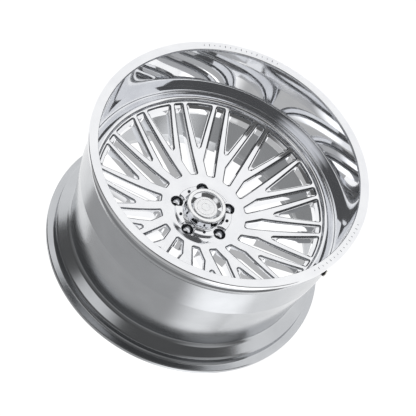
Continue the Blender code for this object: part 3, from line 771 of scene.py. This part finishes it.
def barrel(lip, turned):
    """The barrel: one closed profile of flanges, bead seats, lip and well, turned about the axis.

    It runs out along the lip, round the outer flange, back along the outside, and home along the bore.
    The valve's hole is drilled last.
    """
    angles = ring_angles(BARREL_STEPS)
    lip_outside = LIP_FOOT + 6.0
    step_radius = LIP_FOOT - 5.5
    seat = SEAT_DEPTH + JOINT_GAP
    polished = filleted([
        (LIP_FOOT, seat, 0),
        (LIP_FOOT, LIP_DEPTH, 60.0),
        (LIP_EDGE - 0.6, 4.0, 8.0),
        (LIP_EDGE + 1.2, 0.0, 1.6),
        (FLANGE_RADIUS, 0.0, 2.4),
        (FLANGE_RADIUS, 9.5, 0),
    ])
    worked = filleted([
        (FLANGE_RADIUS, 9.5, 0),
        (FLANGE_RADIUS - 1.6, 10.8, 1.2),
        (BEAD_RADIUS + 1.5, 12.5, 5.0),
        (BEAD_RADIUS, 20.0, 3.0),
        (BEAD_RADIUS - 0.8, 42.0, 6.0),
        (BEAD_RADIUS + 1.4, 49.0, 4.0),
        (BEAD_RADIUS - 0.4, 58.0, 4.0),
        (lip_outside, 62.0, 3.0),
        (lip_outside, LIP_DEPTH + 4, 4.0),
        (WELL_RADIUS + 1.6, WELL_DEPTH - 16, 18.0),
        (WELL_RADIUS, WELL_DEPTH, 6.0),
        (WELL_RADIUS + 4.0, WELL_DEPTH + 8, 9.0),
        (BEAD_RADIUS - 2.4, WIDTH - 37.5, 3.0),
        (BEAD_RADIUS + 1.2, WIDTH - 34.0, 2.0),
        (BEAD_RADIUS - 0.2, WIDTH - 29.0, 3.0),
        (BEAD_RADIUS, WIDTH - 19.0, 3.0),
        (BEAD_RADIUS + 2.0, WIDTH - 12.5, 4.0),
        (FLANGE_RADIUS - 1.6, WIDTH - 10.8, 1.4),
        (FLANGE_RADIUS, WIDTH - 9.0, 1.0),
        (FLANGE_RADIUS, WIDTH, 2.0),
        (BEAD_RADIUS - 1.0, WIDTH, 1.6),
        (BEAD_RADIUS - 5.0, WIDTH - 3.0, 2.0),
        (BEAD_RADIUS - BARREL_WALL, WIDTH - 29.5, 6.0),
        (WELL_RADIUS + 9.0, WELL_DEPTH + 13, 6.0),
        (WELL_RADIUS - BARREL_WALL + 1.2, WELL_DEPTH + 1, 6.0),
        (WELL_RADIUS - BARREL_WALL, WELL_DEPTH - 14, 16.0),
        (step_radius, SEAT_DEPTH + 7, 4.0),
        (step_radius, seat, 0.8),
        (LIP_FOOT, seat, 0),
    ])
    nets = [lathed(polished, angles), lathed(worked, angles)]
    # The outside and inboard half take the turned material, whose greyer tone is painted shade.
    made = build("rim_barrel_finish", nets, [lip, turned], "rim", ["rim_barrel"],
                 50.0, [0, 1])
    inward = -np.array([math.cos(VALVE_ANGLE), 0.0, math.sin(VALVE_ANGLE)])
    hole = STEM_RADIUS + 1.85
    pierce(made, on_wheel(VALVE_ANGLE, VALVE_WALL, VALVE_DEPTH), inward, hole, -16.0, 10.0)


def carried(profile, origin, axis, segments, reach=None):
    """A closed net: a profile turned about an axis, whose heights run along it from the origin.

    The profile has rows of (radius, height, weight). Where the weight is 1 the radius is scaled by
    reach(turn, height), and where it is 0 it is round. A row of radius 0 is a pole.
    """
    profile = np.asarray(profile, float)
    if profile.shape[1] == 2:
        profile = np.hstack([profile, np.zeros((len(profile), 1))])
    axis = np.asarray(axis, float)
    first = np.array([1.0, 0.0, 0.0]) if abs(axis[1]) > 0.9 else np.array([0.0, 1.0, 0.0])
    second = np.array([0.0, 0.0, 1.0]) if abs(axis[1]) > 0.9 else np.cross(axis, first)
    turns = ring_angles(segments)[None]
    scale = reach(turns, profile[:, 1:2]) if reach else np.ones_like(turns)
    radius = profile[:, :1] * (1 + profile[:, 2:] * (scale - 1))
    points = radius[..., None] * (np.cos(turns)[..., None] * first + np.sin(turns)[..., None] * second)
    points = points + profile[:, 1, None, None] * axis
    closed = bool(profile[0, 0] > 0 and profile[-1, 0] > 0)
    return net(np.asarray(origin) + points * MM, closed, True)


def hexagon(turn, height):
    """A hexagon's reach over that of its flats."""
    within = (turn + math.pi / 6) % (math.pi / 3) - math.pi / 6
    return 1 / np.cos(within) + 0 * height


def thread(turn, height):
    """A helical thread: the radius falls by its depth and comes back in straight flanks, once a pitch."""
    phase = (height / THREAD_PITCH - turn / FULL_TURN) % 1.0
    return 1 - THREAD_DEPTH * np.clip(1.25 - np.abs(4 * phase - 2) * 0.9, 0, 1)


def knurl(turn, height):
    """Rounded ribs: the radius dips by a power of a raised cosine between them."""
    return 1 - KNURL_DEPTH * (0.5 - 0.5 * np.cos(KNURLS * turn)) ** 0.6 + 0 * height


def on_wheel(angle=0.0, radius=0.0, depth=0.0):
    """One point of the wheel in metres. With no angle or radius it is on the axis."""
    return spin(np.float64(radius), np.float64(depth), np.float64(angle))


def lug_seats(steel):
    """Steel inserts, each with the 60 degree cone that a nut clamps on."""
    bore = 7.9
    mouth = SEAT_RADIUS - 0.9
    half_cone = math.radians(30)
    cone_end = SEAT_FRONT + (mouth - bore) / math.tan(half_cone)
    profile = filleted([
        (SEAT_RADIUS, SEAT_FRONT, 0.35), (SEAT_RADIUS, SEAT_BACK, 0.4), (bore, SEAT_BACK, 0.4),
        (bore, cone_end, 1.0), (mouth, SEAT_FRONT, 0.3),
    ], 5, True)
    for k in range(LUGS):
        origin = on_wheel(LUG_ANGLE + k * LUG_PITCH, LUG_CIRCLE)
        # Each seat takes the steel whose extra darkness is painted shade of its pocket.
        dress(f"lug_seat_{k + 1}", [carried(profile, origin, AXIS, 96)], steel, "rim")


def hub_ring(plastic):
    """The centring ring, with a chamfer that leads the hub's spigot in."""
    outside = BORE_RADIUS - 0.3
    inside = outside - 3.0
    back = PAD_DEPTH - 0.5
    front = back - 13.5
    profile = filleted([
        (outside - 0.8, front, 0.2), (outside, front + 1.0, 0.4), (outside, back, 0.4),
        (inside + 1.0, back, 0.3), (inside, back - 1.0, 0.3), (inside, front, 0.3),
    ], 4, True)
    nets = [carried(profile, on_wheel(), AXIS, 192)]
    dress("hub_centring_ring", nets, plastic, "rim")


def weld_bead(weld):
    """The bead behind the centre's ring: a quarter round whose reach ripples once every 3 mm."""
    corner = RING_OUTSIDE - 5.5
    start = SEAT_DEPTH + JOINT_GAP
    size = 4.2
    ripples = 600
    turns = ring_angles(1536)
    ripple = 1 - 0.07 * (0.5 - 0.5 * np.cos(ripples * turns)) ** 2
    arc = np.linspace(0, math.pi / 2, 9)[:, None]
    radius = np.vstack([np.full_like(turns, corner)[None], corner - size * np.sin(arc) * ripple])
    depth = np.vstack([np.full_like(turns, start)[None], start + size * np.cos(arc) * ripple])
    depth[-1] = start
    nets = [net(spin(radius, depth, turns[None]), True, True)]
    dress("weld_bead", nets, weld, "rim")


def foot_reach(angles):
    """How far the cap's foot reaches at each angle: a disc less five round scallops, its corners eased.

    It is where the smooth maximum of the disc's and the scallops' distances first rises above zero.
    """
    reach = np.linspace(CAP_RADIUS, CAP_FOOT, 500)[:, None]
    disc = reach - CAP_FOOT
    away = (angles - LUG_ANGLE + LUG_PITCH / 2) % LUG_PITCH - LUG_PITCH / 2
    hole = SCALLOP - np.sqrt(reach ** 2 + LUG_CIRCLE ** 2 - 2 * reach * LUG_CIRCLE * np.cos(away))
    ease = 1.6
    blend = np.clip(0.5 + 0.5 * (disc - hole) / ease, 0, 1)
    level = hole * (1 - blend) + disc * blend + ease * blend * (1 - blend)
    edge = -0.02
    first = np.argmax(level > edge, axis=0)
    return reach[first, 0]


def cap_shell(mirror):
    """The tower with its lobed foot, and the dished seat for the badge and the ring.

    A round profile is turned about the axis. Past the tower's wall its radius is drawn in, by its share of
    the way to the full foot, to the scalloped foot's reach at that angle. The angles are evenly spaced
    along the foot's edge.
    """
    shelf = (ring_high.y - FRONT_Y) / MM + JOINT_GAP
    floor_depth = (badge_high.y - FRONT_Y) / MM + JOINT_GAP
    bore = CAP_RADIUS - 4.0
    seal = bore + 2.6
    groove = 1.5
    roof = CAP_FOOT_BACK - 2.6
    fine = np.linspace(0, FULL_TURN, 8001)
    reach = foot_reach(fine)
    line = np.stack([reach * np.cos(fine), reach * np.sin(fine)], -1)
    length = np.concatenate([[0], np.cumsum(np.linalg.norm(np.diff(line, axis=0), axis=1))])
    angles = np.interp(np.linspace(0, length[-1], 721)[:-1], length, fine)
    foot = np.interp(angles, fine, reach)
    profile = filleted([
        (0.0, floor_depth, 0),
        (BADGE_RADIUS + 0.6, floor_depth, 0.2),
        (BADGE_RADIUS + 0.9, BADGE_FRONT + 1.7, 0.5),
        (CAP_RING_INNER - 0.4, shelf, 2.5),
        (CAP_RADIUS - 0.5, shelf, 0.4),
        (CAP_RADIUS + 0.1, shelf + 3.0, 3.0),
        (CAP_RADIUS + 1.2, CAP_FOOT_FRONT - 6, 5.0),
        (CAP_RADIUS + 4.6, CAP_FOOT_FRONT, 4.0),
        (CAP_FOOT, CAP_FOOT_FRONT, 1.1),
        (CAP_FOOT, CAP_FOOT_BACK, 0.3),
        (seal + groove, CAP_FOOT_BACK, 0.2),
        (seal + groove, roof, 0.3),
        (seal - groove, roof, 0.3),
        (seal - groove, CAP_FOOT_BACK, 0.2),
        (bore, CAP_FOOT_BACK, 0.3),
        (bore - 0.6, floor_depth + 6, 2.0),
        (bore - 3.0, floor_depth + 4, 1.5),
        (0.0, floor_depth + 4, 0),
    ], 6)
    radius = profile[:, :1]
    wall = CAP_RADIUS + 1.4
    outer = (radius > wall) & (profile[:, 1:] > CAP_FOOT_FRONT - 3)
    share = np.clip((radius - wall) / (CAP_FOOT - wall), 0, 1)
    pulled = np.minimum(radius, wall + share * (foot[None] - wall))
    grid = np.where(outer, pulled, radius + 0 * foot[None])
    nets = [net(spin(grid, profile[:, 1:], angles[None]), False, True)]
    dress("cap_shell", nets, mirror, "rim", 40.0)


def cap_ring(bright):
    """The ring round the badge: a section with a broad outer round, turned about the axis."""
    base = (ring_high.y - FRONT_Y) / MM
    profile = filleted([
        (CAP_RING_INNER, base, 0.2),
        (CAP_RING_INNER, CAP_TOP, 1.3),
        (CAP_RADIUS, CAP_TOP, 2.3),
        (CAP_RADIUS, base, 0.2),
    ], 10, True)
    nets = [carried(profile, on_wheel(), AXIS, 256)]
    dress("cap_ring", nets, bright, "rim", 50.0)


def cap_badge(lacquer):
    """A plain disc, with two fine sunk rings in place of a mark."""
    back = (badge_high.y - FRONT_Y) / MM
    top = BADGE_FRONT + JOINT_GAP
    groove = top - 0.25
    crown = top + 0.05
    outer_groove = crown - 0.25
    profile = filleted([
        (0.0, top, 0),
        (9.0, top, 0.2), (9.3, groove, 0.15), (10.3, groove, 0.15), (10.6, top, 0.2),
        (20.0, crown, 0.2), (20.3, outer_groove, 0.15), (21.1, outer_groove, 0.15), (21.4, crown, 0.2),
        (BADGE_RADIUS, top + 0.1, 0.9),
        (BADGE_RADIUS, back, 0.3),
        (0.0, back, 0),
    ], 4)
    nets = [carried(profile, on_wheel(), AXIS, 160)]
    dress("cap_badge", nets, lacquer, "rim", 40.0)


def cap_seal(seal_rubber):
    """The O-ring: a circle carried round the axis."""
    cord = 1.1
    seal_low, seal_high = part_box("cap_seal")
    section = (seal_high.y - seal_low.y) / 2 / MM
    middle = ((seal_high.y + seal_low.y) / 2 - FRONT_Y) / MM
    turn = ring_angles(20)
    reach = seal_high.x / MM - section
    profile = np.stack([reach + cord * np.cos(turn), middle + cord * np.sin(turn)], -1)
    nets = [carried(profile, on_wheel(), AXIS, 160)]
    dress("cap_seal", nets, seal_rubber, "rim", 60.0)


def cap_screws(steel):
    """Button heads with hexagon sockets, and threaded shanks."""
    seat = CAP_FOOT_FRONT - JOINT_GAP
    tip = HUB_FACE + 11.0
    socket = 1.26
    socket_floor = seat - 0.9
    crown = seat - 2.4
    head_radius = 3.5
    head = filleted([
        (socket, socket_floor, 0),
        (socket, crown, 0),
        (2.4, crown, 0.8),
        (head_radius, seat - 1.2, 0.9),
        (head_radius, seat, 0.2),
        (SCREW_SHANK, seat, 0),
    ], 5)
    hexagonal = np.zeros(len(head))
    hexagonal[:2] = 1.0
    head = np.column_stack([head, hexagonal])
    heights = np.arange(seat + 0.2, tip - 0.8, 0.1)
    shank = np.column_stack([np.full(len(heights), SCREW_SHANK), heights, np.ones(len(heights))])
    shank[0, 2] = 0
    top = np.vstack([[(0.0, socket_floor, 0.0)], head])
    end = np.vstack([head[-1:], shank, [(1.4, tip, 0.0), (0.0, tip, 0.0)]])
    for k in range(LUGS):
        origin = on_wheel(LUG_ANGLE + (k + 0.5) * LUG_PITCH, SCREW_CIRCLE)
        nets = [carried(top, origin, AXIS, 48, hexagon), carried(end, origin, AXIS, 48, thread)]
        dress(f"cap_screw_{k + 1}", nets, steel, "rim")


def nut_net(origin, inward, hole, flat, foot, top):
    """A hexagon nut. Each row's reach is the lesser of the hexagon's and that of a cone at each end."""
    level = np.concatenate([foot + np.array([0.0, 0.25, 0.5, 0.8]), top - np.array([0.9, 0.6, 0.3, 0.0])])
    cone = flat + 0.15 + 1.6 * np.minimum(level - foot, top - level)
    turns = ring_angles(192)[None]
    sides = np.minimum(flat * hexagon(turns, level[:, None]), cone[:, None])
    reach = np.vstack([np.full_like(turns, hole), sides, np.full_like(turns, hole)])
    heights = np.concatenate([[foot], level, [top]])[:, None]
    side = np.cross(inward, AXIS)
    points = reach[..., None] * (np.cos(turns)[..., None] * AXIS + np.sin(turns)[..., None] * side)
    return net(origin + (points + heights[..., None] * inward) * MM, True, True)


def valve(nickel_plate, core_brass, grommet_rubber, cap_plastic):
    """The clamp-in valve, each piece a profile turned about its axis.

    Heights run inwards from the lip's wall. The washer stands clear of the wall by the wall's slope and
    the sagitta of the CAD's facets over its own radius.
    """
    inward = -np.array([math.cos(VALVE_ANGLE), 0.0, math.sin(VALVE_ANGLE)])
    origin = on_wheel(VALVE_ANGLE, VALVE_WALL, VALVE_DEPTH)
    stem_gap = STEM_RADIUS + JOINT_GAP
    outer_wall = VALVE_WALL - LIP_FOOT - 6.0
    head = outer_wall - 4.2
    head_radius = STEM_RADIUS + 4.2
    sleeve = STEM_RADIUS + 1.55
    bore = STEM_RADIUS - 1.65
    washer_radius = STEM_RADIUS + 3.7
    washer = washer_radius * math.hypot(math.tan(math.pi / 64), 3.5 / LIP_DEPTH) + 0.05
    washer_end = washer + 1.2
    nut = washer_end + JOINT_GAP
    nut_end = nut + 5.3
    core_top = VALVE_LENGTH - 1.2
    core_end = core_top - 14.8
    core_radius = bore - JOINT_GAP
    pin_tip = VALVE_LENGTH - 0.4
    pin_shoulder = core_end - 0.4
    pin_foot = core_end - 2.0
    cap_mouth = nut_end + 1.9
    cap_bore = STEM_RADIUS + 0.05
    cap_outside = cap_bore + 1.25
    cap_floor = VALVE_LENGTH + 1.2
    cap_top = VALVE_LENGTH + 3.2
    pad_foot = VALVE_LENGTH + 0.3
    pad_top = VALVE_LENGTH + 0.9
    pad_radius = cap_bore - 0.5

    def turned_about(profile, segments=96, reach=None):
        """A profile carried round the valve."""
        return carried(profile, origin, inward, segments, reach)

    grommet = filleted([
        (stem_gap, -1.5, 0.2), (stem_gap, head + 0.3, 0.2), (head_radius - 0.4, head + 0.3, 0.4),
        (head_radius + 0.6, head + 1.3, 0.7), (head_radius + 0.6, outer_wall - 0.5, 0.5),
        (sleeve, outer_wall - 0.5, 0.4), (sleeve, -1.5, 0.3),
    ], 4, True)
    dress("valve_grommet", [turned_about(grommet)], grommet_rubber, "rim")
    crest = np.arange(nut_end + 0.4, VALVE_LENGTH - 0.7, THREAD_PITCH / 9)
    threads = np.column_stack([np.full(len(crest), STEM_RADIUS), crest, np.ones(len(crest))])
    lower = filleted([
        (bore, VALVE_LENGTH, 0), (bore, head - 2.6, 0.3), (head_radius - 1.2, head - 2.6, 0.8),
        (head_radius, head - 1.4, 0.8), (head_radius, head, 0.3), (STEM_RADIUS, head, 0.3),
        (STEM_RADIUS, nut_end, 0),
    ], 4)
    lower = np.column_stack([lower, np.zeros(len(lower))])
    top = [(STEM_RADIUS - 0.45, VALVE_LENGTH - 0.3, 0.0), (STEM_RADIUS - 0.8, VALVE_LENGTH, 0.0)]
    stem = np.vstack([lower, threads, top])
    dress("valve_stem", [turned_about(stem, 96, thread)], nickel_plate, "rim", 40.0)
    ring = filleted([
        (stem_gap, washer, 0.1), (washer_radius, washer, 0.15), (washer_radius, washer_end, 0.3),
        (stem_gap, washer_end, 0.2),
    ], 4, True)
    dress("valve_washer", [turned_about(ring)], nickel_plate, "rim")
    nut_grid = nut_net(origin, inward, stem_gap, STEM_RADIUS + 2.7, nut, nut_end)
    dress("valve_nut", [nut_grid], nickel_plate, "rim", 25.0)
    core = filleted([
        (0.85, core_top, 0.1), (core_radius, core_top, 0.2), (core_radius, core_top - 4.8, 0.2),
        (bore - 0.8, core_top - 5.8, 0.3), (bore - 0.8, core_end, 0.2), (0.85, core_end, 0.1),
    ], 3, True)
    dress("valve_core", [turned_about(core, 64)], core_brass, "rim")
    pin = filleted([
        (0, pin_tip, 0), (0.5, pin_tip, 0.2), (0.5, pin_shoulder, 0.05),
        (1.3, pin_shoulder, 0.1), (1.3, pin_foot, 0.3), (0, pin_foot, 0),
    ], 3)
    dress("valve_core_pin", [turned_about(pin, 40)], core_brass, "core_pin")
    pad = filleted([
        (0, pad_top, 0), (pad_radius, pad_top, 0.15), (pad_radius, pad_foot, 0.15), (0, pad_foot, 0),
    ], 3)
    dress("valve_cap_seal", [turned_about(pad, 64)], grommet_rubber, "cap_lift")
    dome = filleted([
        (0, cap_top, 0), (cap_outside - 0.9, cap_top, 1.1),
        (cap_outside - 0.35, VALVE_LENGTH + 1.9, 0.3), (cap_outside, VALVE_LENGTH + 1.5, 0),
    ], 5)
    dome = np.column_stack([dome, np.zeros(len(dome))])
    rib_heights = np.linspace(VALVE_LENGTH + 1.3, cap_mouth + 0.9, 9)
    ribs = np.column_stack([np.full(9, cap_outside), rib_heights, np.ones(9)])
    mouth = filleted([
        (cap_outside, cap_mouth + 0.6, 0), (cap_outside - 0.2, cap_mouth, 0.3), (cap_bore, cap_mouth, 0.2),
        (cap_bore, cap_floor, 0.2), (0, cap_floor, 0),
    ], 4)
    mouth = np.column_stack([mouth, np.zeros(len(mouth))])
    nets = [turned_about(np.vstack([dome, ribs, mouth]), 192, knurl)]
    dress("valve_cap", nets, cap_plastic, "cap_turn", 40.0)


def lip_marks(dark):
    """Two arcs of plain etched dashes on the lip's face, each a thin bar a hair proud of it.

    A bar's outline is a circle's cosine and sine, each raised to a power that squares it off.
    """
    edge = ring_angles(24)
    squared = [np.sign(wave) * np.abs(wave) ** 0.35 for wave in (np.cos(edge), np.sin(edge))]
    pitch = math.radians(2.3)
    long_dash = 6.0
    short_dash = 3.4
    half_width = 0.7
    proud = -0.03
    sunk = 0.3
    face_middle = (LIP_EDGE + FLANGE_RADIUS) / 2 + 0.5
    nets = []
    for middle in (math.radians(300.0), math.radians(178.0)):
        for k in range(-7, 8):
            along = squared[0] * (short_dash if k % 3 else long_dash) / 2
            across = squared[1] * half_width
            rows = []
            for share, depth in ((0.0, proud), (1.0, proud), (1.0, sunk), (0.0, sunk)):
                radius = face_middle + along * share
                rows.append(spin(radius, depth, middle + k * pitch + across * share / radius))
            nets.append(net(np.stack(rows), False, True))
    build("lip_etched_marks", nets, [dark], "rim", [], 30.0)


def floor():
    """A plain pale sheet that the wheel stands on."""
    half = 9.0
    level = -FLANGE_RADIUS * MM
    mesh = bpy.data.meshes.new("floor")
    corners = [(-half, -half, level), (half, -half, level), (half, half, level), (-half, half, level)]
    mesh.from_pydata(corners, [], [(0, 1, 2, 3)])
    made = place("floor", mesh)
    # Matt white paint, sprayed on. It glows a little, so it stays an even pale ground without shadows.
    paint = bpy.data.materials.new("matt_white_floor")
    paint.use_nodes = True
    shader = paint.node_tree.nodes["Principled BSDF"]
    shader.inputs["Base Color"].default_value = linear("BDBDBD")
    shader.inputs["Emission Color"].default_value = linear("FFFFFF")
    shader.inputs["Emission Strength"].default_value = 0.93
    shader.inputs["Roughness"].default_value = 0.9
    mesh.materials.append(paint)


def studio():
    """Grey soft surroundings, with a few broad soft lights set round the wheel.

    A light is a direction, the angles from it at which it is full and at which it ends, in degrees, and
    its strength. The first is a wide wash from behind, and the others are softboxes.
    """
    surroundings = 0.12
    world = bpy.data.worlds.new("studio")
    bpy.context.scene.world = world
    world.use_nodes = True
    tree = world.node_tree
    back = tree.nodes["Background"]
    where = step(tree, "ShaderNodeTexCoord").outputs["Generated"]
    total = None
    lamps = (
        ((0.0, 1.0, 0.25), 12, 85, 0.42),
        ((-0.55, 0.79, 0.26), 4, 24, 1.2),
        ((0.35, -0.75, 0.5), 4, 20, 0.9),
        ((-0.9, -0.2, 0.4), 5, 30, 0.45),
    )
    for direction, full, end, gain in lamps:
        aim = np.array(direction) / np.linalg.norm(direction)
        dot = step(tree, "ShaderNodeVectorMath", {"operation": "DOT_PRODUCT"})
        tree.links.new(where, dot.inputs[0])
        dot.inputs[1].default_value = tuple(aim)
        settings = {"interpolation_type": "SMOOTHSTEP", "From Min": math.cos(math.radians(end)),
                    "From Max": math.cos(math.radians(full)), "To Min": 0.0, "To Max": gain}
        lobe = step(tree, "ShaderNodeMapRange", settings, {"Value": dot.outputs["Value"]}).outputs["Result"]
        if total is None:
            total = lobe
        else:
            add = step(tree, "ShaderNodeMath", {"operation": "ADD"})
            tree.links.new(total, add.inputs[0])
            tree.links.new(lobe, add.inputs[1])
            total = add.outputs["Value"]
    lift = step(tree, "ShaderNodeMath", {"operation": "ADD"})
    tree.links.new(total, lift.inputs[0])
    lift.inputs[1].default_value = surroundings
    tree.links.new(lift.outputs["Value"], back.inputs["Strength"])
    back.inputs["Color"].default_value = (1, 1, 1, 1)
    bpy.context.scene.view_settings.view_transform = "Standard"


def camera():
    """A long lens that looks down on the face, rolled so that the wheel leans.

    Azimuth 0 is straight in front, and grows towards +X. Roll turns the camera about its own axis.
    """
    azimuth = math.radians(-8.5286)
    elevation = math.radians(36.8345)
    roll = math.radians(-137.1295)
    distance = 6.3072
    aim = Vector((-0.02265, -0.11773, 0.08750))
    turn = Matrix.Rotation(azimuth, 3, "Z") @ Matrix.Rotation(math.pi / 2 - elevation, 3, "X")
    data = bpy.data.cameras.new("camera")
    data.lens = 249.2
    data.sensor_width = 36.0
    data.clip_end = 100.0
    made = place("camera", data)
    pose = (turn @ Matrix.Rotation(roll, 3, "Z")).to_4x4()
    pose.translation = aim + turn @ Vector((0.0, 0.0, distance))
    made.matrix_world = pose
    bpy.context.scene.camera = made


def main():
    """Every piece in its finish, then the floor, the light and the camera."""
    mirror = mirror_aluminium()
    black = nylon()
    matt = rubber()
    dark = black_oxide_steel()
    barrel(polished_aluminium(), turned_painted_shade_aluminium())
    forged_centre(mirror, milled_painted_shade_aluminium())
    lug_seats(zinc_steel_painted_shade())
    hub_ring(black)
    weld_bead(welded_aluminium())
    cap_shell(mirror)
    cap_ring(bright_ring_metal())
    cap_badge(pearl_lacquer())
    cap_seal(matt)
    cap_screws(dark)
    valve(nickel(), brass(), matt, black)
    lip_marks(dark)
    floor()
    studio()
    camera()


main()
